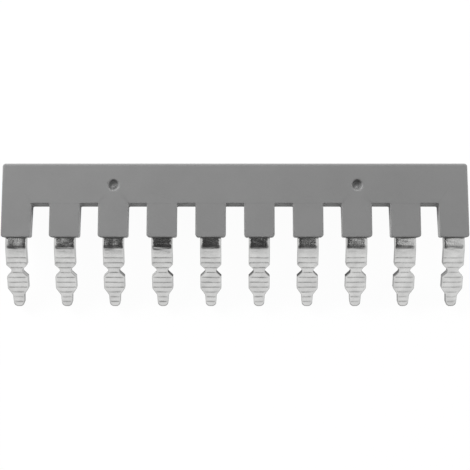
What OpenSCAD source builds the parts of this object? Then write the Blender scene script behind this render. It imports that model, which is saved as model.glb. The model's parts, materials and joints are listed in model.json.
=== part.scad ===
// Comb connector that bridges a row of neighbouring terminal blocks.
// One stamped strip carries all the blades, and a grey insulating comb is moulded around its bus.
// All sizes are in millimetres. The part is drawn lying as it comes to rest on a table:
// front face up, held off the table by the top edge of the bar and by the ends of the bent blades.

/* [Comb] */
// Number of poles
poles = 10; // [4:1:16]
// Distance from pole to pole
pitch = 6.2; // [5.6:0.1:8.2]

/* [Insulating body] */
// Height of the bar above the fingers
bar_h = 5.25; // [4.2:0.05:8]
// Thickness of the bar
bar_t = 2.5; // [2.2:0.1:3.4]
// Width of a finger across its front
finger_w = 3.9; // [3.4:0.1:4.8]
// Length of a finger below the bar
finger_len = 4.35; // [3:0.05:7]
// Plastic in front of the strip
front_wall = 0.6; // [0.5:0.05:0.8]
// Plastic behind the strip at the end of a finger
end_wall = 0.2; // [0.15:0.05:0.6]
// Plastic above the bus of the strip
top_wall = 1.3; // [0.8:0.1:2]
// Plastic below the bus of the strip, over a slot
roof_wall = 1.3; // [0.8:0.1:2]
// Draft of the finger sides and of the bar ends, in degrees
side_draft = 3; // [0.5:0.5:4]
// Draft of the finger ends, in degrees
end_draft = 5; // [1:0.5:8]
// Bevel along the front edges of the fingers and of the bar ends
front_bevel = 0.15; // [0.05:0.05:0.3]
// Radius along the two top edges of the bar
top_r = 0.3; // [0.1:0.05:0.5]
// Radius of the top corners of the bar, seen from the front
bar_corner_r = 0.3; // [0.1:0.05:0.6]
// Radius of the bottom corners of a finger, seen from the front
corner_r = 0.25; // [0.1:0.05:0.6]

/* [Gate recesses] */
// Pole behind the recess, counted from each end
gate_pole = 3; // [1:1:3]
// Diameter of the recess
gate_d = 1.25; // [0.9:0.05:1.8]
// Depth of the recess
gate_depth = 0.4; // [0.2:0.05:0.4]
// Bevel around the mouth of the recess
gate_bevel = 0.15; // [0.05:0.05:0.15]
// Diameter of the gate stub left in the recess
stub_d = 0.4; // [0.3:0.05:0.7]
// Height of the gate stub
stub_h = 0.2; // [0.1:0.05:0.2]

/* [Contact strip] */
// Thickness of the metal
strip_t = 0.9; // [0.6:0.05:1.1]
// Width of a blade at its widest
blade_w = 2.7; // [2.2:0.05:3]
// Width of the neck where a blade end can be broken off
neck_w = 1.45; // [1.1:0.05:1.8]
// Width where the tip begins
tip_w = 1.5; // [1.2:0.05:1.8]
// Width across the end of the tip
tip_end_w = 1.3; // [1:0.05:1.4]
// Radius of the tip corners
tip_r = 0.46; // [0.36:0.02:0.48]
// Width of the roll along the front edges of a blade
roll_w = 0.3; // [0.1:0.05:0.35]
// Depth of that roll at the edge
roll_h = 0.1; // [0.06:0.02:0.3]

/* [Blade lengths] */
// Straight root between the finger and the bend
root_len = 0.85; // [0.4:0.05:1.6]
// Angle through which a blade is bent back, in degrees
bend_angle = 28; // [20:1:36]
// Radius inside the bend
bend_r = 0.4; // [0.2:0.05:0.8]
// Full width from the bend to the first taper
shank_len = 2.13; // [1.4:0.01:3]
// Taper from the full width in to the neck
neck_in = 0.62; // [0.4:0.01:1]
// Neck
neck_len = 0.37; // [0.2:0.01:0.8]
// Taper from the neck out to the full width
neck_out = 0.62; // [0.4:0.01:1]
// Full width below the neck
bulge_len = 1.62; // [1:0.01:2.5]
// Taper from the full width in to the tip
tip_in = 0.89; // [0.5:0.01:1.5]
// Tip
tip_len = 1.6; // [1.2:0.1:2.5]

/* [Grooves] */
// Distance from groove to groove
groove_pitch = 0.67; // [0.5:0.01:1]
// Distance from the bend to the first groove
groove_start = 1.1; // [0.5:0.05:1.8]
// Plain metal left below the last groove
groove_end = 0.6; // [0.5:0.05:1.2]
// Width of a groove at the surface
groove_w = 0.22; // [0.1:0.02:0.36]
// Depth of a groove
groove_depth = 0.08; // [0.04:0.02:0.16]

/* [Hidden] */
$fn = 72;
// Plastic comb, measured up from the ends of the fingers and back from the front face
row_len = (poles - 1) * pitch;
body_len = row_len + finger_w;
body_h = finger_len + bar_h;
end_t = front_wall + strip_t + end_wall;
draft_in = bar_t * tan(side_draft);
end_in = end_t * tan(end_draft);
gate_x = row_len / 2 - (gate_pole - 1) * pitch;
gate_y = finger_len + bar_h / 2;
// Metal strip
bus_len = row_len + blade_w;
bus_y = finger_len + roof_wall;
bus_h = bar_h - top_wall - roof_wall;
bend_out = bend_r + strip_t;
y_neck = shank_len + neck_in;
y_bulge = y_neck + neck_len;
y_tip = y_bulge + neck_out + bulge_len + tip_in;
blade_len = y_tip + tip_len;
groove_count = floor((blade_len - groove_end - groove_start) / groove_pitch) + 1;
// Height and depth of a point of a blade, turned back by an angle: y on from there, z up from the back
function bent(y, angle, z) = [
    -root_len + y * cos(angle) - (bend_r + z) * sin(angle),
    -front_wall - bend_out + y * sin(angle) + (bend_r + z) * cos(angle)
];
// Tilt at which the rounded top edge and the blade ends both touch the table
tip_back = bent(-blade_len, bend_angle, 0);
rest_dy = body_h - top_r - tip_back.x;
rest_dz = top_r - bar_t - tip_back.y;
rest_tilt = acos(top_r / norm([rest_dy, rest_dz])) - atan2(rest_dy, rest_dz);
function laid_y(p) = p.x * cos(rest_tilt) + p.y * sin(rest_tilt);
function laid_z(p) = p.y * cos(rest_tilt) - p.x * sin(rest_tilt);
far_y = laid_y([body_h - top_r, -top_r]) + top_r;
near_y = laid_y(bent(-blade_len, bend_angle, strip_t - roll_h));
lap = 0.5;
bend_steps = 8;
arc_steps = 5;

// Lays the finished comb on the table, with the middle of its outline over the origin
module lay_down() {
    translate([0, -(far_y + near_y) / 2, -laid_z(tip_back)])
        rotate([-rest_tilt, 0, 0])
            children();
}

// Repeats a piece at every pole
module each_pole() {
    for (i = [0 : poles - 1])
        translate([i * pitch - row_len / 2, 0, 0])
            children();
}

// Extrudes a side view, drawn as height and depth, along the comb
module along_row(length) {
    rotate([90, 0, 90])
        linear_extrude(length, center = true)
            children();
}

// Extrudes a section, drawn as width and depth, down from a height
module downward(from, length) {
    translate([0, from, 0])
        rotate([90, 0, 0])
            linear_extrude(length)
                children();
}

// Section of the bar or of a finger: drafted sides, bevelled front edges
module drafted_section(width) {
    slope = tan(side_draft) * front_bevel;
    polygon([
        [width / 2 - draft_in, -bar_t],
        [width / 2 - slope, -front_bevel],
        [width / 2 - front_bevel, 0],
        [front_bevel - width / 2, 0],
        [slope - width / 2, -front_bevel],
        [draft_in - width / 2, -bar_t]
    ]);
}

// Side view of the bar, rounded along its two top edges
module bar_side() {
    translate([finger_len, -bar_t])
        square([bar_h - top_r, bar_t]);
    translate([finger_len, top_r - bar_t])
        square([bar_h, bar_t - 2 * top_r]);
    for (depth = [top_r, bar_t - top_r])
        translate([body_h - top_r, -depth])
            circle(top_r);
}

// Side view of a finger, which thins towards its drafted end
module finger_side() {
    polygon([
        [0, 0],
        [end_in, -end_t],
        [finger_len, -bar_t],
        [finger_len + lap, -bar_t],
        [finger_len + lap, 0]
    ]);
}

// What two rounded bottom corners take off a piece of the given width
module corner_cuts(width, radius) {
    for (side = [0, 1])
        mirror([side, 0, 0])
            translate([width / 2 - radius, 0, -bar_t - 1])
                linear_extrude(bar_t + 2)
                    difference() {
                        translate([0, -1])
                            square([radius + 1, radius + 1]);
                        translate([0, radius])
                            circle(radius);
                    }
}

module finger() {
    difference() {
        intersection() {
            along_row(finger_w + 1)
                finger_side();
            downward(finger_len + lap, finger_len + lap + 1)
                drafted_section(finger_w);
        }
        corner_cuts(finger_w, corner_r);
    }
}

module bar() {
    difference() {
        intersection() {
            along_row(body_len + 1)
                bar_side();
            downward(body_h + 1, body_h + 2)
                drafted_section(body_len);
        }
        translate([0, body_h, 0])
            mirror([0, 1, 0])
                corner_cuts(body_len, bar_corner_r);
    }
}

// Round recess with a bevelled mouth and the stub of the gate at its bottom
module gate_recess() {
    translate([0, gate_y, 0])
        difference() {
            union() {
                translate([0, 0, -gate_depth])
                    cylinder(h = gate_depth + 1, d = gate_d);
                translate([0, 0, -gate_bevel])
                    cylinder(h = 2 * gate_bevel, d1 = gate_d, d2 = gate_d + 4 * gate_bevel);
            }
            translate([0, 0, -gate_depth - 1])
                cylinder(h = stub_h + 1, d = stub_d);
        }
}

// Right side of a blade, from inside the bus down and round to the end of the tip.
// Each point holds the half width, the distance on from the bend and the angle reached in the bend.
tip_lean = atan((tip_w - tip_end_w) / 2 / (tip_len - tip_r));
tip_arc = [for (k = [0 : arc_steps]) tip_lean + k * (90 - tip_lean) / arc_steps];
blade_side = concat(
    [[blade_w / 2, root_len + bus_y + lap, 0]],
    [for (k = [0 : bend_steps]) [blade_w / 2, 0, k * bend_angle / bend_steps]],
    [
        [blade_w / 2, -shank_len, bend_angle],
        [neck_w / 2, -y_neck, bend_angle],
        [neck_w / 2, -y_bulge, bend_angle],
        [blade_w / 2, -y_bulge - neck_out, bend_angle],
        [blade_w / 2, -y_bulge - neck_out - bulge_len, bend_angle],
        [tip_w / 2, -y_tip, bend_angle]
    ],
    [
        for (a = tip_arc)
            [tip_end_w / 2 - tip_r + tip_r * cos(a), tip_r - blade_len - tip_r * sin(a), bend_angle]
    ]
);
side_n = len(blade_side);

// The same point on the flat strip, before it is bent
function flat(p) = [p.x, p.y - p.z * bend_out * PI / 180];
// Unit vector into the blade from the edge that leaves a point of its side
function inward(i) =
    let (run = i < side_n - 1 ? flat(blade_side[i + 1]) - flat(blade_side[i]) : [-1, 0])
        [run.y, -run.x] / norm(run);
// A point of the side, moved in by the width of the roll
function rolled(i) =
    let (a = inward(max(i - 1, 0)), b = inward(i), move = roll_w * (a + b) / (1 + a * b))
        blade_side[i] + [move.x, move.y, 0];
// Points round the blade at one height above its back: down the right side and up the left
function ring(side, z) =
    let (right = [for (p = side) concat(p.x, bent(p.y, p.z, z))])
        concat(right, [for (k = [side_n - 1 : -1 : 0]) [-right[k].x, right[k].y, right[k].z]]);

// One blade: three rings of points, at the back, at the foot of the roll and at the front
module blade() {
    front_side = [for (i = [0 : side_n - 1]) rolled(i)];
    n = 2 * side_n;
    polyhedron(
        points = concat(
            ring(blade_side, 0),
            ring(blade_side, strip_t - roll_h),
            ring(front_side, strip_t)
        ),
        faces = concat(
            [for (i = [0 : side_n - 2]) [n - 1 - i, n - 2 - i, i + 1, i]],
            [for (i = [0 : side_n - 2]) [2 * n + i, 2 * n + i + 1, 3 * n - 2 - i, 3 * n - 1 - i]],
            [for (r = [0, n], i = [0 : n - 2]) [r + i, r + i + 1, r + n + i + 1, r + n + i]],
            [[n - 1, 0, n, 2 * n, 3 * n - 1, 2 * n - 1]]
        )
    );
}

// The strip before it is grooved: this is what the plastic is moulded around
module strip() {
    translate([-bus_len / 2, bus_y, -front_wall - strip_t])
        cube([bus_len, bus_h, strip_t]);
    each_pole()
        blade();
}

// Fine grooves across the fronts of all the blades, below the bend
module grooves() {
    translate([0, -root_len, -front_wall - bend_out])
        rotate([bend_angle, 0, 0])
            for (k = [0 : groove_count - 1])
                translate([0, -groove_start - k * groove_pitch, bend_out])
                    along_row(bus_len + 2)
                        polygon([
                            [0, -groove_depth],
                            [groove_w, groove_depth],
                            [-groove_w, groove_depth]
                        ]);
}

module insulating_body() {
    color([0.55, 0.56, 0.57])
        lay_down()
            difference() {
                union() {
                    bar();
                    each_pole()
                        finger();
                }
                strip();
                for (side = [-1, 1])
                    translate([side * gate_x, 0, 0])
                        gate_recess();
            }
}

module contact_comb() {
    color([0.80, 0.80, 0.79])
        lay_down()
            difference() {
                strip();
                grooves();
            }
}

insulating_body();
contact_comb();
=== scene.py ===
import json
import random
from math import acos, atan2, cos, hypot, pi, radians, sin, sqrt, tan

import bmesh
import bpy
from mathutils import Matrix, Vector, noise
from mathutils.geometry import delaunay_2d_cdt


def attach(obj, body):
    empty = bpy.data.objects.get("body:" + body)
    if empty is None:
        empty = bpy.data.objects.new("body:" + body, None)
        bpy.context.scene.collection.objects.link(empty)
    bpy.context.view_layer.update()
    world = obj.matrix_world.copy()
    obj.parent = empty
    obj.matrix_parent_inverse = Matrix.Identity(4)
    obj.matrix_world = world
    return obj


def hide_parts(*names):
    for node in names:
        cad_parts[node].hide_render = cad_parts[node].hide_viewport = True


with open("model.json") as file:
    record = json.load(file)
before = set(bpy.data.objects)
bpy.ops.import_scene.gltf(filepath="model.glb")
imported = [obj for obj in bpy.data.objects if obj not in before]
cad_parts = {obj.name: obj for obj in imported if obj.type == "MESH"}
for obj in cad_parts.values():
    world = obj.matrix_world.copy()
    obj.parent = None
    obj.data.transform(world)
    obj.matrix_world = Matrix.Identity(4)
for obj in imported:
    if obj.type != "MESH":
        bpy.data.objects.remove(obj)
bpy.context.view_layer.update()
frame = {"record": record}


# Contact strip: one stamping of copper strip, tin-plated all over, with a bus and ten blades.
# The press gives each blade a neck, a rolled front edge and cross grooves, and bends it back.
# The plastic is moulded around the bus, so only the blades show.

POLES, PITCH = 10, 6.2
ROW = [(i - (POLES - 1) / 2) * PITCH for i in range(POLES)]
MM = 0.001
bar_front = next(m for m in frame["record"]["mounts"] if m["name"] == "bar_front")
BAR_MIDDLE = 6.975
LEAN = atan2(bar_front["axis"][1], bar_front["axis"][2])
MIDDLE = BAR_MIDDLE * cos(LEAN) - bar_front["pos_m"][1] / MM
LIFT = BAR_MIDDLE * sin(LEAN) + bar_front["pos_m"][2] / MM

STRIP_T, FRONT_WALL = 0.9, 0.6
ROOT_LEN, BEND, BEND_OUT = 0.775, radians(28), 1.6
ARC = BEND * BEND_OUT
BLADE_LEN = 7.763
# Right half of a blade: half its width, the distance below the bend, and the corner's radius.
BLADE_EDGE = (
    (1.350, -8.0, 0),
    (1.350, 2.055, 0.22),
    (0.725, 2.675, 0.28),
    (0.725, 3.045, 0.28),
    (1.350, 3.665, 0.08),
    (1.350, 5.285, 0.25),
    (0.750, 6.175, 0.30),
    (0.650, BLADE_LEN, 0.57),
    (0.0, BLADE_LEN, 0),
)
ROLL_FLAT, ROLL_W, ROLL_SLOPE, EDGE_R = 0.20, 0.45, 0.20, 0.05
ROLL_FADE, ROLL_FADE_LEN = 0.5, 1.7
BACK_R, LEAST_T = 0.06, 0.2
GROOVES, GROOVE_FIRST, GROOVE_PITCH = 10, 1.025, 0.67
GROOVE_HALF, GROOVE_DEPTH = 0.15, 0.022
GROOVE_DRIFT, GROOVE_WORN, DRIFT_LEN, WEAR_FINER = 0.045, 0.60, 1.5, 2
GROOVE_END, GROOVE_RISE = 0.35, (0.04, 0.28)
WAVE, WAVE_LEN, WAVE_RISE = 0.008, 1.1, (0.05, 0.45)
NEAR_BEND_LEN = 0.9
CREASE, CREASE_LONG, CREASE_HIGH, CREASE_LAYER = 0.040, 1.1, 0.26, 5
CREASE_RISE, CREASE_ENDS = (0.1, 0.4), (-0.3, 0.6)
# For each blade from the left: how creased its bend is.
CREASED = (0.9, 0.9, 1.7, 1.4, 0.5, 0.6, 0.4, 0.7, 0.9, 0.9)
NOTCH_FROM, NOTCH_TO, NOTCH_FADE = 2.1, 3.66, 0.4
NECK_STARTS, NECK_ENDS, TIP_STARTS = (2.54, 2.67), (3.66, 3.78), (6.9, 7.5)
# For each blade from the left: how much painted shade its cut walls get, in the neck and along the sides.
NECK_SHADE_LEFT = (0.0, 0.0, 0.1, 0.3, 0.7, 0.9, 1.0, 1.0, 0.8, 0.5)
NECK_SHADE_RIGHT = (0.0, 0.1, 0.7, 1.0, 0.9, 0.9, 0.8, 0.6, 0.3, 0.2)
WALL_SHADE_LEFT = (0.25, 0.25, 0.25, 0.25, 0.25, 0.30, 0.35, 0.45, 0.55, 0.60)
WALL_SHADE_RIGHT = (0.40, 0.35, 0.30, 0.25, 0.25, 0.25, 0.25, 0.25, 0.25, 0.25)
# Painted shade on the walls near the tip, and on a thin rim along every edge that widens at the tip.
TIP_WALL_SHADE, TIP_RIM, RIM, RIM_SHADE = 0.45, 0.1, 0.1, 0.25
BUS_LOW, BUS_HIGH = 5.65, 8.30


def laid(x, u, w):
    """A point of the comb as it lies: x along the row, u up from the finger ends, w out of the front."""
    return (
        x * MM,
        (u * cos(LEAN) + w * sin(LEAN) - MIDDLE) * MM,
        (w * cos(LEAN) - u * sin(LEAN) + LIFT) * MM,
    )


def rounded(corners, closed, step=radians(12)):
    """The line through the corners (a, b, radius), with an arc at each corner that has a radius."""
    line = []
    count = len(corners)
    for i, (a, b, radius) in enumerate(corners):
        if radius == 0 or (not closed and i in (0, count - 1)):
            line.append(Vector((a, b)))
            continue
        here = Vector((a, b))
        back = (Vector(corners[i - 1][:2]) - here).normalized()
        on = (Vector(corners[(i + 1) % count][:2]) - here).normalized()
        half = acos(max(-1, min(1, back.dot(on)))) / 2
        centre = here + (back + on).normalized() * (radius / sin(half))
        start, end = here + back * (radius / tan(half)), here + on * (radius / tan(half))
        angle = atan2(start.y - centre.y, start.x - centre.x)
        turn = atan2(end.y - centre.y, end.x - centre.x) - angle
        turn = (turn + pi) % (2 * pi) - pi
        steps = max(2, round(abs(turn) / step))
        for k in range(steps + 1):
            t = angle + turn * k / steps
            line.append(centre + radius * Vector((cos(t), sin(t))))
    return line


def from_edge(line, x, y):
    """How far a point of the blade is from its outline."""
    best = float("inf")
    for p, q in zip(line, line[1:]):
        along = q - p
        t = ((x - p.x) * along.x + (y - p.y) * along.y) / along.length_squared
        t = max(0.0, min(1.0, t))
        best = min(best, hypot(x - p.x - along.x * t, y - p.y - along.y * t))
    return best


def half_width(line, y):
    """Half the blade's width at the distance y below the bend."""
    for p, q in zip(line, line[1:]):
        if p.y <= y <= q.y and q.y > p.y:
            return p.x + (q.x - p.x) * (y - p.y) / (q.y - p.y)
    return line[-2].x


def bent(x, s, deep):
    """A point of the blade: s runs down its front from the start of the bend, deep is below it."""
    turned = max(0.0, min(BEND, s / BEND_OUT))
    straight = min(s, 0.0)
    down = max(0.0, s - ARC)
    radius = BEND_OUT - deep
    return laid(
        x,
        -ROOT_LEN - straight - radius * sin(turned) - down * cos(turned),
        -FRONT_WALL - BEND_OUT + radius * cos(turned) - down * sin(turned),
    )


def rolled(gap):
    """How far the front is rolled down at a gap from the outline: a slope, and a curve to the flat."""
    curve = max(0.0, ROLL_W - max(gap, ROLL_FLAT))
    return ROLL_SLOPE * (curve**2 / (2 * (ROLL_W - ROLL_FLAT)) + max(0.0, ROLL_FLAT - gap))


def groove_depth(y):
    """How deep the pressed cross grooves are at the distance y below the bend, from 0 to 1."""
    nearest = round((y - GROOVE_FIRST) / GROOVE_PITCH)
    if not 0 <= nearest < GROOVES:
        return 0.0
    off = abs(y - GROOVE_FIRST - nearest * GROOVE_PITCH) / GROOVE_HALF
    return 0.5 + 0.5 * cos(pi * min(1.0, off))


def eased(value, low, high):
    """0 up to low, 1 from high on, and a smooth rise between them."""
    t = max(0.0, min(1.0, (value - low) / (high - low)))
    return t * t * (3 - 2 * t)


blade_line = rounded(BLADE_EDGE, False)
EDGE_STEPS = (0, 0.006, 0.02, 0.05, 0.12, 0.20, 0.26, 0.32, 0.38, 0.45)
INNER_STEPS, SQUEEZE_HALF, TINY = (0.75, 0.5, 0.25), 0.75, 1e-6
ROOT_HIDDEN, ROOT_STEP, ROOT_STEPS = 0.4, 0.05, 18
BEND_STEPS, GROOVE_STEPS, BLADE_STEP, LEAST_STEP = 12, 4, 0.1, 0.014
levels = [-ROOT_LEN - BUS_LOW, -ROOT_LEN - ROOT_HIDDEN]
levels += [-ROOT_LEN + ROOT_STEP * k for k in range(ROOT_STEPS)]
levels += [ARC * k / BEND_STEPS for k in range(1, BEND_STEPS + 1)]
levels += [ARC + p.y for p in blade_line if p.y > 0]
levels += [
    ARC + GROOVE_FIRST + k * GROOVE_PITCH + GROOVE_HALF * t / GROOVE_STEPS
    for k in range(GROOVES)
    for t in range(-GROOVE_STEPS, GROOVE_STEPS + 1)
]
levels += [ARC + BLADE_LEN - e for e in EDGE_STEPS[1:]]
levels += [ARC + BLADE_STEP * k for k in range(1, int(BLADE_LEN / BLADE_STEP))]
kept_levels = []
for s in sorted(levels):
    if not kept_levels or s - kept_levels[-1] > LEAST_STEP:
        kept_levels.append(s)
kept_levels[-1] = ARC + BLADE_LEN

strip_points, strip_faces = [], []
groove_mask, wall_shade_mask, bend_mask = [], [], []
for pole, (centre, creased) in enumerate(zip(ROW, CREASED)):
    first = len(strip_points)
    for s in kept_levels:
        y = s - ARC
        half = half_width(blade_line, y)
        notch = eased(y, NOTCH_FROM - NOTCH_FADE, NOTCH_FROM)
        notch *= 1 - eased(y, NOTCH_TO, NOTCH_TO + NOTCH_FADE)
        neck = eased(y, *NECK_STARTS) * (1 - eased(y, *NECK_ENDS))
        tip = eased(y, *TIP_STARTS)
        squeeze = min(1.0, half / SQUEEZE_HALF)
        # 1 at the bend, fading out below it: the rows don't drift there, and the tin is coloured a little
        #                                     darker.
        near_bend = 1 - eased(y, 0.0, NEAR_BEND_LEN)
        pressed = 0.0 if s == kept_levels[0] else 1.0
        across = [(0.0, 0)]
        # Painted shade for each side's wall: the dark strokes at the neck, along the sides, and more
        # towards the tip.
        walls = []
        both_sides = ((WALL_SHADE_LEFT, NECK_SHADE_LEFT), (WALL_SHADE_RIGHT, NECK_SHADE_RIGHT))
        for side, (plain, notched) in enumerate(both_sides):
            shade_strength = max(plain[pole], notched[pole] * neck)
            walls.append(shade_strength + (1 - shade_strength) * TIP_WALL_SHADE * tip)
            edge_x = [half - d * squeeze for d in EDGE_STEPS]
            edge_x += [edge_x[-1] * t for t in INNER_STEPS]
            across += [(x * (2 * side - 1), side) for x in edge_x]
        back = half - BACK_R * pressed
        ring = [(-back, s, STRIP_T, 0, walls[0]), (-half, s, STRIP_T - BACK_R, 0, walls[0])]
        for x, side in sorted(across):
            wall = walls[side]
            gap = min(from_edge(blade_line, abs(x), y), half - abs(x) + TINY)
            corner = max(0.0, 1 - gap / EDGE_R)
            roll = rolled(gap) * (1 - notch) * (1 - ROLL_FADE * eased(y, 0.0, ROLL_FADE_LEN))
            roll += EDGE_R * (1 - sqrt(1 - corner**2))
            place = Vector((centre + x, s, 0))
            worn = 1 - GROOVE_WORN * (0.5 + 0.5 * noise.noise(place / DRIFT_LEN * WEAR_FINER))
            groove = groove_depth(y) * worn * (GROOVE_END + (1 - GROOVE_END) * eased(gap, *GROOVE_RISE))
            inside = eased(gap, *WAVE_RISE)
            drift = GROOVE_DRIFT * noise.noise(place / DRIFT_LEN) * inside * (1 - near_bend)
            wave = WAVE * (0.5 + 0.5 * noise.noise(place / WAVE_LEN)) * inside
            fold = Vector(((centre + x) / CREASE_LONG, s / CREASE_HIGH, CREASE_LAYER))
            crease = CREASE * creased * (0.5 + 0.5 * noise.noise(fold)) * eased(gap, *CREASE_RISE)
            crease *= 1 - eased(y, *CREASE_ENDS)
            deep = (roll + GROOVE_DEPTH * groove + wave + crease) * pressed
            # Painted shade on a thin rim beside the outline, wider at the tip, and the side's full painted
            # shade on the wall itself.
            rim = RIM_SHADE + (wall - RIM_SHADE) * tip
            wall_shade = rim * (1 - eased(gap, 0.0, RIM + TIP_RIM * tip))
            if gap < EDGE_STEPS[1] / 2:
                wall_shade = wall
            ring.append((x, s + drift, min(deep, STRIP_T - LEAST_T), groove, wall_shade))
        ring += [(half, s, STRIP_T - BACK_R, 0, walls[1]), (back, s, STRIP_T, 0, walls[1])]
        for x, down, deep, groove, wall_shade in ring:
            strip_points.append(bent(centre + x, down, deep))
            groove_mask.append(groove)
            wall_shade_mask.append(wall_shade)
            bend_mask.append(near_bend)
    size = len(ring)
    for r in range(len(kept_levels) - 1):
        for c in range(size):
            a, b = first + r * size + c, first + r * size + (c + 1) % size
            strip_faces.append((a, a + size, b + size, b))
    last = first + (len(kept_levels) - 1) * size
    strip_faces += [(last, last + c + 1, last + c) for c in range(1, size - 1)]

bus_first = len(strip_points)
low_edge, high_edge = [], []
for pole, centre in enumerate(ROW):
    top = pole * len(kept_levels) * size
    low_edge.append((top + 2, top + 1, top))
    low_edge.append((top + size - 3, top + size - 2, top + size - 1))
    for x in (centre - BLADE_EDGE[0][0], centre + BLADE_EDGE[0][0]):
        high_edge.append((len(strip_points), len(strip_points) + 1))
        strip_points += [laid(x, BUS_HIGH, -FRONT_WALL - deep) for deep in (0.0, STRIP_T)]
for c in range(len(low_edge) - 1):
    (front, side, back), (next_front, next_side, next_back) = low_edge[c : c + 2]
    (high_front, high_back), (next_high_front, next_high_back) = high_edge[c : c + 2]
    strip_faces.append((high_front, next_high_front, next_high_back, high_back))
    strip_faces.append((back, high_back, next_high_back, next_back))
    strip_faces.append((next_front, next_high_front, high_front))
    if c % 2 == 0:
        strip_faces += [(k, k + 1, high_front) for k in range(front, next_front)]
    else:
        strip_faces.append((front, next_front, high_front))
        strip_faces.append((front, side, next_side, next_front))
        strip_faces.append((side, back, next_back, next_side))
for end in (0, -1):
    front, side, back = low_edge[end]
    high_front, high_back = high_edge[end]
    strip_faces.append((front, side, high_front))
    strip_faces.append((side, back, high_back, high_front))
groove_mask += [0.0] * (len(strip_points) - bus_first)
# Full painted shade on the bus, which the plastic hides.
wall_shade_mask += [1.0] * (len(strip_points) - bus_first)
bend_mask += [0.0] * (len(strip_points) - bus_first)

SHARP_EDGE = radians(38)
strip_mesh = bpy.data.meshes.new("contact_strip")
strip_mesh.from_pydata(strip_points, [], strip_faces)
strip_work = bmesh.new()
strip_work.from_mesh(strip_mesh)
bmesh.ops.recalc_face_normals(strip_work, faces=strip_work.faces)
strip_work.to_mesh(strip_mesh)
strip_work.free()
for name, values in (("groove", groove_mask), ("wall_shade", wall_shade_mask), ("near_bend", bend_mask)):
    strip_mesh.attributes.new(name, "FLOAT", "POINT").data.foreach_set("value", values)
strip_mesh.shade_smooth()
strip_mesh.set_sharp_from_angle(angle=SHARP_EDGE)
contact_strip = bpy.data.objects.new("contact_strip", strip_mesh)
bpy.context.collection.objects.link(contact_strip)


def add_node(tree, kind, **values):
    """A new node with the given settings; a key of an input is written with the input's own name."""
    made = tree.nodes.new(kind)
    sockets = values.pop("inputs", {})
    for name, value in values.items():
        setattr(made, name, value)
    for name, value in sockets.items():
        made.inputs[name].default_value = value
    return made


def shade_range(tree, source, low, high, start=0.0, end=1.0):
    """A value between start and end, brought into the range from low to high."""
    made = add_node(
        tree,
        "ShaderNodeMapRange",
        inputs={"From Min": start, "From Max": end, "To Min": low, "To Max": high},
    )
    tree.links.new(source, made.inputs["Value"])
    return made.outputs["Result"]


def handled_surface():
    """Cloudy patches from handling, and a fine grain: what every surface of the comb shows close to."""
    group = bpy.data.node_groups.new("handled_surface", "ShaderNodeTree")
    face = group.interface
    for name, value in (("Patches per mm", 0.4), ("Grains per mm", 12.0)):
        face.new_socket(name, in_out="INPUT", socket_type="NodeSocketFloat").default_value = value
    for name in ("Patches", "Grain"):
        face.new_socket(name, in_out="OUTPUT", socket_type="NodeSocketFloat")
    into = group.nodes.new("NodeGroupInput")
    out = group.nodes.new("NodeGroupOutput")
    place = group.nodes.new("ShaderNodeTexCoord")
    in_mm = add_node(group, "ShaderNodeVectorMath", operation="SCALE", inputs={"Scale": 1 / MM})
    group.links.new(place.outputs["Object"], in_mm.inputs[0])
    for size, result, detail in (("Patches per mm", "Patches", 5.0), ("Grains per mm", "Grain", 2.0)):
        cloud = add_node(group, "ShaderNodeTexNoise", inputs={"Detail": detail, "Roughness": 0.6})
        group.links.new(in_mm.outputs["Vector"], cloud.inputs["Vector"])
        group.links.new(into.outputs[size], cloud.inputs["Scale"])
        group.links.new(shade_range(group, cloud.outputs["Fac"], 0, 1, 0.25, 0.75), out.inputs[result])
    return group


surface_group = handled_surface()
TIN_CLOUDED, TIN_BRIGHT = (0.54, 0.54, 0.535, 1), (0.74, 0.74, 0.732, 1)
# The dark tone, for the grooves and for the painted shade on walls, rims and tips; the dimmer reflection
# goes with the painted shade.
TIN_DULL_AND_SHADE = (0.06, 0.06, 0.059, 1)
FULL_SHEEN, SHADED_SHEEN = (1, 1, 1, 1), (0.5, 0.5, 0.5, 1)


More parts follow.
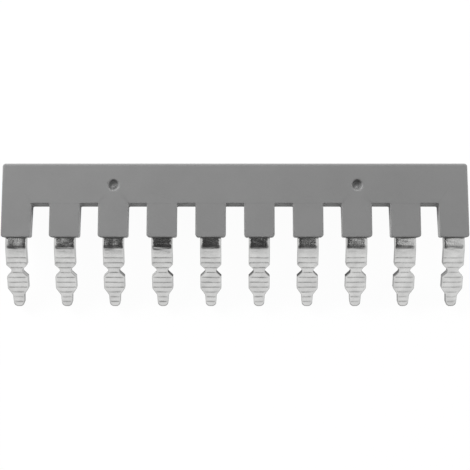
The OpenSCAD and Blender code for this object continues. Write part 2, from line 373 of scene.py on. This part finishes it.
def bright_tin():
    """Bright tin on the rolled strip: nearly a mirror, matt and darker in the grooves, with painted shade
    on the cut edges.
    """
    made = bpy.data.materials.new("bright_tin")
    made.use_nodes = True
    tree = made.node_tree
    shader = tree.nodes["Principled BSDF"]
    shader.inputs["Metallic"].default_value = 1.0
    marks = add_node(tree, "ShaderNodeGroup", node_tree=surface_group)
    marks.inputs["Patches per mm"].default_value = 0.7
    marks.inputs["Grains per mm"].default_value = 9.0
    groove = add_node(tree, "ShaderNodeAttribute", attribute_name="groove")
    wall_shade = add_node(tree, "ShaderNodeAttribute", attribute_name="wall_shade")
    near_bend = add_node(tree, "ShaderNodeAttribute", attribute_name="near_bend")

    tone = add_node(tree, "ShaderNodeMix", data_type="RGBA")
    tone.inputs["A"].default_value = TIN_CLOUDED
    tone.inputs["B"].default_value = TIN_BRIGHT
    tree.links.new(marks.outputs["Patches"], tone.inputs["Factor"])
    # The tin darkens in the grooves and a little just below the bend; on the walls, rims and tips it
    # carries painted shade.
    dull_and_shade = add_node(tree, "ShaderNodeMath", operation="MAXIMUM")
    tree.links.new(shade_range(tree, groove.outputs["Fac"], 0.0, 0.16), dull_and_shade.inputs[0])
    tree.links.new(shade_range(tree, wall_shade.outputs["Fac"], 0.0, 0.92), dull_and_shade.inputs[1])
    darkening = add_node(tree, "ShaderNodeMath", operation="MAXIMUM")
    tree.links.new(dull_and_shade.outputs[0], darkening.inputs[0])
    tree.links.new(shade_range(tree, near_bend.outputs["Fac"], 0.0, 0.10), darkening.inputs[1])
    toned = add_node(tree, "ShaderNodeMix", data_type="RGBA")
    toned.inputs["B"].default_value = TIN_DULL_AND_SHADE
    tree.links.new(darkening.outputs[0], toned.inputs["Factor"])
    tree.links.new(tone.outputs["Result"], toned.inputs["A"])
    tree.links.new(toned.outputs["Result"], shader.inputs["Base Color"])
    # The painted shade also dims the walls' reflection at grazing angles.
    edge_tint = add_node(tree, "ShaderNodeMix", data_type="RGBA")
    edge_tint.inputs["A"].default_value = FULL_SHEEN
    edge_tint.inputs["B"].default_value = SHADED_SHEEN
    shade_strength = shade_range(tree, wall_shade.outputs["Fac"], 0.0, 1.0, 0.3, 0.8)
    tree.links.new(shade_strength, edge_tint.inputs["Factor"])
    tree.links.new(edge_tint.outputs["Result"], shader.inputs["Specular Tint"])

    rough = add_node(tree, "ShaderNodeMath", operation="ADD")
    tree.links.new(shade_range(tree, marks.outputs["Patches"], 0.10, 0.18), rough.inputs[0])
    tree.links.new(shade_range(tree, dull_and_shade.outputs[0], 0.0, 0.08, 0.0, 0.2), rough.inputs[1])
    tree.links.new(rough.outputs[0], shader.inputs["Roughness"])

    place = tree.nodes.new("ShaderNodeTexCoord")
    drawn = add_node(tree, "ShaderNodeMapping", vector_type="POINT", inputs={"Scale": (600, 14000, 14000)})
    tree.links.new(place.outputs["Object"], drawn.inputs["Vector"])
    lines = add_node(tree, "ShaderNodeTexNoise", inputs={"Scale": 1.0, "Detail": 3.0})
    tree.links.new(drawn.outputs["Vector"], lines.inputs["Vector"])
    height = add_node(tree, "ShaderNodeMath", operation="MULTIPLY_ADD", inputs={1: 0.25})
    tree.links.new(lines.outputs["Fac"], height.inputs[0])
    tree.links.new(marks.outputs["Grain"], height.inputs[2])
    pits = add_node(tree, "ShaderNodeTexNoise", inputs={"Scale": 3200.0, "Detail": 2.0})
    tree.links.new(place.outputs["Object"], pits.inputs["Vector"])
    dented = add_node(tree, "ShaderNodeMath", operation="MULTIPLY_ADD", inputs={1: 1.6})
    tree.links.new(pits.outputs["Fac"], dented.inputs[0])
    tree.links.new(height.outputs[0], dented.inputs[2])
    bump = add_node(tree, "ShaderNodeBump", inputs={"Strength": 0.3, "Distance": 0.000012})
    tree.links.new(dented.outputs[0], bump.inputs["Height"])
    tree.links.new(bump.outputs["Normal"], shader.inputs["Normal"])
    return made


strip_mesh.materials.append(bright_tin())
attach(contact_strip, "root")
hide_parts("contact_comb")


# Insulating body: one moulding of grey polyamide around the strip, a flat bar with ten square fingers.
# It is a little narrower behind, so that it leaves the mould, and thinner at the ends of the fingers.
# Two round recesses in the front hold the broken-off stubs of the gates that the plastic came in by.

BAR_TOP, FINGER_LEN, FINGER_W = 9.6, 4.35, 3.9
BAR_T, FINGER_END_T = 2.49, 1.7
BODY_HALF = 29.77
SLOT_R, FINGER_R, TOP_R = 0.12, 0.38, 0.40
DRAFT = tan(radians(3))
END_DRAFT = tan(radians(5))
TOP_DRAFT = tan(radians(2))
FRONT_R, FRONT_TOP_R, FRONT_LOW_R, REAR_R, REAR_TOP_R = 0.19, 0.36, 0.08, 0.06, 0.22
KINK = FINGER_LEN - SLOT_R
GATES = ((ROW[2] - 0.02, 0.22), (ROW[7] + 0.11, 0.48))
GATE_LOW = 0.26
GATE_U = BAR_MIDDLE - GATE_LOW
GATE_R, MOUTH_R, FLAT_R, GATE_DEEP = 0.57, 0.80, 0.95, 0.385
# Steps of the rounded mouth, inward and deep, and of the rounded floor, outward and high.
MOUTH_ROUND = ((0.03, 0.01), (0.09, 0.05))
FLOOR_ROUND = ((0.03, 0.05), (0.0, 0.015), (-0.05, 0.0))
STUB_R, STUB_H, STUB_DROP, STUB_LEAN = 0.28, 0.10, 0.20, 0.03
GATE_SIDES, STUB_STEPS, RAGGED_LOOPS, RAGGED = 32, 6, 3, 0.012
FRONT_ANGLES, REAR_ANGLES = (0, 20, 40, 65, 90), (0, 45, 90)
LEAST_MITRE, NEAR_END, SAME_HEIGHT, SAME_POINT = 0.5, 1, 1e-4, 1e-7


def thickness(u):
    """How thick the plastic is at the height u: the backs of the fingers slope to their ends."""
    return FINGER_END_T + (BAR_T - FINGER_END_T) * max(0.0, min(1.0, u / KINK))


comb_corners = []
for x in ROW:
    left, right = max(x - FINGER_W / 2, -BODY_HALF), min(x + FINGER_W / 2, BODY_HALF)
    comb_corners += [(left, 0, FINGER_R), (right, 0, FINGER_R)]
    if x != ROW[-1]:
        comb_corners += [
            (x + FINGER_W / 2, FINGER_LEN, SLOT_R),
            (x + PITCH - FINGER_W / 2, FINGER_LEN, SLOT_R),
        ]
comb_corners += [
    (BODY_HALF, KINK, 0),
    (BODY_HALF, BAR_TOP, TOP_R),
    (-BODY_HALF, BAR_TOP, TOP_R),
    (-BODY_HALF, KINK, 0),
]
comb_line = rounded(comb_corners, True, radians(18))
comb_out = []
for i, p in enumerate(comb_line):
    before = (p - comb_line[i - 1]).normalized()
    after = (comb_line[(i + 1) % len(comb_line)] - p).normalized()
    out = (Vector((before.y, -before.x)) + Vector((after.y, -after.x))).normalized()
    comb_out.append((out, 1 / max(LEAST_MITRE, out.dot(Vector((after.y, -after.x))))))

body_work = bmesh.new()
size = len(comb_line)
rings = []
for t in FRONT_ANGLES:
    ring = []
    for p, (out, stretch) in zip(comb_line, comb_out):
        edge_r = FRONT_TOP_R if out.y > 0 else FRONT_LOW_R
        radius = FRONT_R + (edge_r - FRONT_R) * abs(out.y)
        q = p - out * (stretch * radius * (1 - sin(radians(t))))
        ring.append((q, -radius * (1 - cos(radians(t)))))
    rings.append(ring)
for t in REAR_ANGLES:
    ring = []
    for p, (out, stretch) in zip(comb_line, comb_out):
        top = max(0.0, out.y) if p.y > FINGER_LEN + NEAR_END else 0.0
        radius = REAR_R + (REAR_TOP_R - REAR_R) * top**2
        ends = END_DRAFT * min(0.0, out.y) if p.y < NEAR_END else TOP_DRAFT * top
        draft = Vector((DRAFT * out.x, ends))
        q = p - draft * thickness(p.y) - out * (stretch * radius * (1 - cos(radians(t))))
        ring.append((q, -thickness(q.y) + radius * (1 - sin(radians(t)))))
    rings.append(ring)
ring_verts = [[body_work.verts.new(laid(q.x, q.y, w)) for q, w in ring] for ring in rings]
for outer, inner in zip(ring_verts, ring_verts[1:]):
    for c in range(size):
        d = (c + 1) % size
        body_work.faces.new((outer[c], inner[c], inner[d], outer[d]))

mouths = []
break_off = random.Random(11)
for gate_x, gate_tilt in GATES:
    profile = [(FLAT_R, 0.0), (MOUTH_R, 0.0)]
    profile += [(MOUTH_R - inward, -deep) for inward, deep in MOUTH_ROUND]
    profile += [(GATE_R + outward, high - GATE_DEEP) for outward, high in FLOOR_ROUND]
    profile += [
        (STUB_R * cos(t), -GATE_DEEP + STUB_H * sin(t) ** 2)
        for t in (radians(90 * k / STUB_STEPS) for k in range(STUB_STEPS))
    ]
    loops = []
    for k, (radius, w) in enumerate(profile):
        loop = []
        for a in range(GATE_SIDES):
            angle = 2 * pi * a / GATE_SIDES
            ragged = break_off.uniform(-RAGGED, RAGGED) if k >= len(profile) - RAGGED_LOOPS else 0.0
            drop = STUB_DROP if radius <= STUB_R else 0.0
            x, u = gate_x + radius * cos(angle), GATE_U - drop + radius * sin(angle)
            tilted = 1 + gate_tilt * (u - GATE_U) / GATE_R
            loop.append((body_work.verts.new(laid(x, u, w * tilted + ragged)), Vector((x, u))))
        loops.append(loop)
    for outer, inner in zip(loops, loops[1:]):
        for a in range(GATE_SIDES):
            b = (a + 1) % GATE_SIDES
            body_work.faces.new((outer[a][0], inner[a][0], inner[b][0], outer[b][0]))
    tilted = 1 - gate_tilt * STUB_DROP / GATE_R
    stub_top = (-GATE_DEEP + STUB_H) * tilted
    tip = body_work.verts.new(laid(gate_x + STUB_LEAN, GATE_U - STUB_DROP, stub_top))
    for a in range(GATE_SIDES):
        body_work.faces.new((loops[-1][a][0], tip, loops[-1][(a + 1) % GATE_SIDES][0]))
    mouths.append(loops[0])


def cap(flat, verts, loops, lines, holes):
    """Fills a flat outline with faces that follow the given lines and leave the holes open."""
    edges = list(lines)
    start = 0
    for count in loops:
        edges += [(start + i, start + (i + 1) % count) for i in range(count)]
        start += count
    points, _, faces, origin, _, _ = delaunay_2d_cdt(flat, edges, [], 1, SAME_POINT)
    made = []
    for face in faces:
        middle = sum((points[i] for i in face), Vector((0, 0))) / len(face)
        if any((middle - hole).length < FLAT_R for hole in holes):
            continue
        made.append(body_work.faces.new([verts[origin[i][0]] for i in face]))
    return made


front_flat = [q for q, w in rings[0]]
front_verts = list(ring_verts[0])
for mouth in mouths:
    front_flat += [flat for vert, flat in mouth]
    front_verts += [vert for vert, flat in mouth]
cap(
    front_flat,
    front_verts,
    [size] + [GATE_SIDES] * len(mouths),
    [],
    [Vector((x, GATE_U)) for x, tilt in GATES],
)
at_kink = [i for i, p in enumerate(comb_line) if abs(p.y - KINK) < SAME_HEIGHT]
at_kink.sort(key=lambda i: comb_line[i].x)
kinks = list(zip(at_kink[0::2], at_kink[1::2]))
cap([q for q, w in rings[-1]], ring_verts[-1], [size], kinks, [])
bmesh.ops.recalc_face_normals(body_work, faces=body_work.faces)
for a, b in kinks:
    edge = body_work.edges.get((ring_verts[-1][a], ring_verts[-1][b]))
    if edge:
        edge.smooth = False
for face in body_work.faces:
    face.smooth = True
body_mesh = bpy.data.meshes.new("insulating_comb")
body_work.to_mesh(body_mesh)
body_work.free()
insulating_comb = bpy.data.objects.new("insulating_comb", body_mesh)
bpy.context.collection.objects.link(insulating_comb)
flats = insulating_comb.modifiers.new("flat_faces_stay_flat", "WEIGHTED_NORMAL")
flats.keep_sharp = True
flats.weight = 100


GREY_LOW, GREY_HIGH = (0.228, 0.228, 0.228, 1), (0.247, 0.247, 0.247, 1)
GREY_FLECK = (0.266, 0.266, 0.266, 1)


def grey_polyamide():
    """Grey polyamide as it leaves a fine spark-eroded mould: matt, faintly clouded, with a fine grain."""
    made = bpy.data.materials.new("grey_polyamide")
    made.use_nodes = True
    tree = made.node_tree
    shader = tree.nodes["Principled BSDF"]
    shader.inputs["Specular IOR Level"].default_value = 0.5
    marks = add_node(tree, "ShaderNodeGroup", node_tree=surface_group)
    marks.inputs["Patches per mm"].default_value = 0.22
    marks.inputs["Grains per mm"].default_value = 9.0
    tone = add_node(tree, "ShaderNodeMix", data_type="RGBA")
    tone.inputs["A"].default_value = GREY_LOW
    tone.inputs["B"].default_value = GREY_HIGH
    tree.links.new(marks.outputs["Patches"], tone.inputs["Factor"])
    fleck = add_node(tree, "ShaderNodeMix", data_type="RGBA")
    fleck.inputs["B"].default_value = GREY_FLECK
    tree.links.new(shade_range(tree, marks.outputs["Grain"], 0.0, 0.45, 0.45, 1.0), fleck.inputs["Factor"])
    tree.links.new(tone.outputs["Result"], fleck.inputs["A"])
    tree.links.new(fleck.outputs["Result"], shader.inputs["Base Color"])
    tree.links.new(shade_range(tree, marks.outputs["Patches"], 0.36, 0.46), shader.inputs["Roughness"])
    bump = add_node(tree, "ShaderNodeBump", inputs={"Strength": 0.3, "Distance": 0.00002})
    tree.links.new(marks.outputs["Grain"], bump.inputs["Height"])
    tree.links.new(bump.outputs["Normal"], shader.inputs["Normal"])
    return made


body_mesh.materials.append(grey_polyamide())
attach(insulating_comb, "root")
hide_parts("insulating_body")


# Table and studio: a white sheet under a light tent, with two low soft lamps beyond the ends of the bar.
# Two dark ovals overhead stand in for the camera and the gap around it, which bright metal mirrors.
# The light comes from behind the bar, and little comes from the front; the sheet below the bar has painted
# shade, which only reflections show.

SHEET, SHEET_DROP = 3.0, 0.00002
PAPER_MATT, PAPER_LIT, PAPER_SEEN = (0.06, 0.06, 0.06, 1), 0.72, 0.96
SHADE_REACH, SHADE_TOWARDS = 0.0025, (0, 0.9, 0.44)
SHADE_DARK, SHADE_FADE = 0.1, (0.45, 0.75)
sheet_mesh = bpy.data.meshes.new("white_sheet")
sheet_mesh.from_pydata(
    [(-SHEET, -SHEET, 0), (SHEET, -SHEET, 0), (SHEET, SHEET, 0), (-SHEET, SHEET, 0)], [], [(0, 1, 2, 3)]
)
white_sheet = bpy.data.objects.new("white_sheet", sheet_mesh)
white_sheet.location.z = -SHEET_DROP
bpy.context.collection.objects.link(white_sheet)

paper = bpy.data.materials.new("white_paper")
paper.use_nodes = True
tree = paper.node_tree
tree.nodes.remove(tree.nodes["Principled BSDF"])
matt = add_node(tree, "ShaderNodeBsdfDiffuse", inputs={"Color": PAPER_MATT})
glow = add_node(tree, "ShaderNodeEmission", inputs={"Color": (1, 1, 1, 1)})
path = tree.nodes.new("ShaderNodeLightPath")
seen = add_node(tree, "ShaderNodeMath", operation="MAXIMUM")
tree.links.new(path.outputs["Is Camera Ray"], seen.inputs[0])
mirrored = add_node(tree, "ShaderNodeMath", operation="MAXIMUM")
tree.links.new(path.outputs["Is Glossy Ray"], mirrored.inputs[0])
tree.links.new(path.outputs["Is Transmission Ray"], mirrored.inputs[1])
tree.links.new(mirrored.outputs[0], seen.inputs[1])
# Painted shade on the sheet, seen only in reflections: darker where the comb is near, on the side the
# light comes from.
shade = add_node(tree, "ShaderNodeAmbientOcclusion", samples=8)
shade.inputs["Distance"].default_value = SHADE_REACH
shade.inputs["Normal"].default_value = SHADE_TOWARDS
below_bar = add_node(tree, "ShaderNodeMix", data_type="FLOAT", inputs={"A": 1.0})
tree.links.new(mirrored.outputs[0], below_bar.inputs["Factor"])
tree.links.new(shade_range(tree, shade.outputs["AO"], SHADE_DARK, 1.0, *SHADE_FADE), below_bar.inputs["B"])
level = add_node(tree, "ShaderNodeMath", operation="MULTIPLY")
tree.links.new(shade_range(tree, seen.outputs[0], PAPER_LIT, PAPER_SEEN), level.inputs[0])
tree.links.new(below_bar.outputs["Result"], level.inputs[1])
tree.links.new(level.outputs[0], glow.inputs["Strength"])
both = tree.nodes.new("ShaderNodeAddShader")
tree.links.new(matt.outputs[0], both.inputs[0])
tree.links.new(glow.outputs[0], both.inputs[1])
tree.links.new(both.outputs[0], tree.nodes["Material Output"].inputs["Surface"])
sheet_mesh.materials.append(paper)

TENT_HIGH, TENT_SIDES, TENT_NEAR = 0.97, 1.0, 0.1
GAP_DARK, CAMERA_DARK = 0.10, 0.06
TENT_LIGHT, FRONT_LIGHT = 0.60, 0.08
SIDES_FADE, HIGH_FADE, LIGHT_FADE = (-0.75, 0.0), (0.05, 0.6), (-0.7, 0.2)
GAP_AT, GAP_HALF, GAP_SOFT = (-0.05, -0.17), (0.38, 0.34), (0.45, 1.34)
CAMERA_AT, CAMERA_HALF, CAMERA_SOFT = (-0.035, 0.18), (0.182, 0.48), (0.86, 1.06)
tent = bpy.data.worlds.new("light_tent")
bpy.context.scene.world = tent
tent.use_nodes = True
tree = tent.node_tree
sky = tree.nodes["Background"]
place = tree.nodes.new("ShaderNodeTexCoord")
split = tree.nodes.new("ShaderNodeSeparateXYZ")
tree.links.new(place.outputs["Generated"], split.inputs[0])
sides = shade_range(tree, split.outputs["Y"], TENT_NEAR, TENT_SIDES, *SIDES_FADE)
high = shade_range(tree, split.outputs["Z"], 0.0, 1.0, *HIGH_FADE)
wall = add_node(tree, "ShaderNodeMix", data_type="FLOAT")
wall.inputs["B"].default_value = TENT_HIGH
tree.links.new(high, wall.inputs["Factor"])
tree.links.new(sides, wall.inputs["A"])


def dark_oval(middle, half, soft, dark):
    """The light that an oval dark place overhead leaves: dark inside it, 1 outside, with a soft edge."""
    apart = tree.nodes.new("ShaderNodeCombineXYZ")
    for axis, at, size in zip("XY", middle, half):
        off = shade_range(tree, split.outputs[axis], -1 / size, 1 / size, at - 1, at + 1)
        off.node.clamp = False
        tree.links.new(off, apart.inputs[axis])
    reach = add_node(tree, "ShaderNodeVectorMath", operation="LENGTH")
    tree.links.new(apart.outputs["Vector"], reach.inputs[0])
    return shade_range(tree, reach.outputs["Value"], dark, 1.0, *soft)


past = add_node(tree, "ShaderNodeMath", operation="MINIMUM")
tree.links.new(dark_oval(GAP_AT, GAP_HALF, GAP_SOFT, GAP_DARK), past.inputs[0])
tree.links.new(dark_oval(CAMERA_AT, CAMERA_HALF, CAMERA_SOFT, CAMERA_DARK), past.inputs[1])
lit = add_node(tree, "ShaderNodeMath", operation="MULTIPLY")
tree.links.new(wall.outputs["Result"], lit.inputs[0])
tree.links.new(past.outputs[0], lit.inputs[1])
path = tree.nodes.new("ShaderNodeLightPath")
mirrored = add_node(tree, "ShaderNodeMath", operation="MAXIMUM")
tree.links.new(path.outputs["Is Glossy Ray"], mirrored.inputs[0])
tree.links.new(path.outputs["Is Transmission Ray"], mirrored.inputs[1])
falls = add_node(tree, "ShaderNodeMix", data_type="FLOAT", inputs={"B": 1.0})
tree.links.new(mirrored.outputs[0], falls.inputs["Factor"])
from_behind = shade_range(tree, split.outputs["Y"], FRONT_LIGHT, TENT_LIGHT, *LIGHT_FADE)
tree.links.new(from_behind, falls.inputs["A"])
toned = add_node(tree, "ShaderNodeMath", operation="MULTIPLY")
tree.links.new(lit.outputs[0], toned.inputs[0])
tree.links.new(falls.outputs["Result"], toned.inputs[1])
shown = add_node(tree, "ShaderNodeMix", data_type="FLOAT")
shown.inputs["B"].default_value = 1.0
tree.links.new(path.outputs["Is Camera Ray"], shown.inputs["Factor"])
tree.links.new(toned.outputs[0], shown.inputs["A"])
tree.links.new(shown.outputs["Result"], sky.inputs["Strength"])
sky.inputs["Color"].default_value = (1, 1, 1, 1)

for name, place, size, watts in (
    ("left_lamp", (-0.22, 0.20, 0.085), 0.2, 1.27),
    ("right_lamp", (0.60, 0.11, 0.06), 0.3, 4.2),
):
    lamp_data = bpy.data.lights.new(name, "AREA")
    lamp_data.shape = "DISK"
    lamp_data.size = size
    lamp_data.energy = watts
    lamp = bpy.data.objects.new(name, lamp_data)
    lamp.location = place
    lamp.rotation_euler = (-lamp.location).to_track_quat("-Z", "Y").to_euler()
    lamp.visible_glossy = False
    bpy.context.collection.objects.link(lamp)


# Camera: straight above the middle of the comb, as the photograph was taken.
# Its height and lens come from fitting the outline of the comb to the photograph, 470 pixels square.

PICTURE, FOCAL_PX, CAMERA_HEIGHT, CAMERA_SHIFT = 470, 1141.05, 148.54, 0.01
camera_data = bpy.data.cameras.new("camera")
camera_data.sensor_width = 36.0
camera_data.lens = camera_data.sensor_width * FOCAL_PX / PICTURE
camera_data.clip_start = 0.01
camera = bpy.data.objects.new("camera", camera_data)
camera.location = (0.0, CAMERA_SHIFT * MM, CAMERA_HEIGHT * MM)
bpy.context.collection.objects.link(camera)
bpy.context.scene.camera = camera
bpy.context.scene.view_settings.view_transform = "Standard"
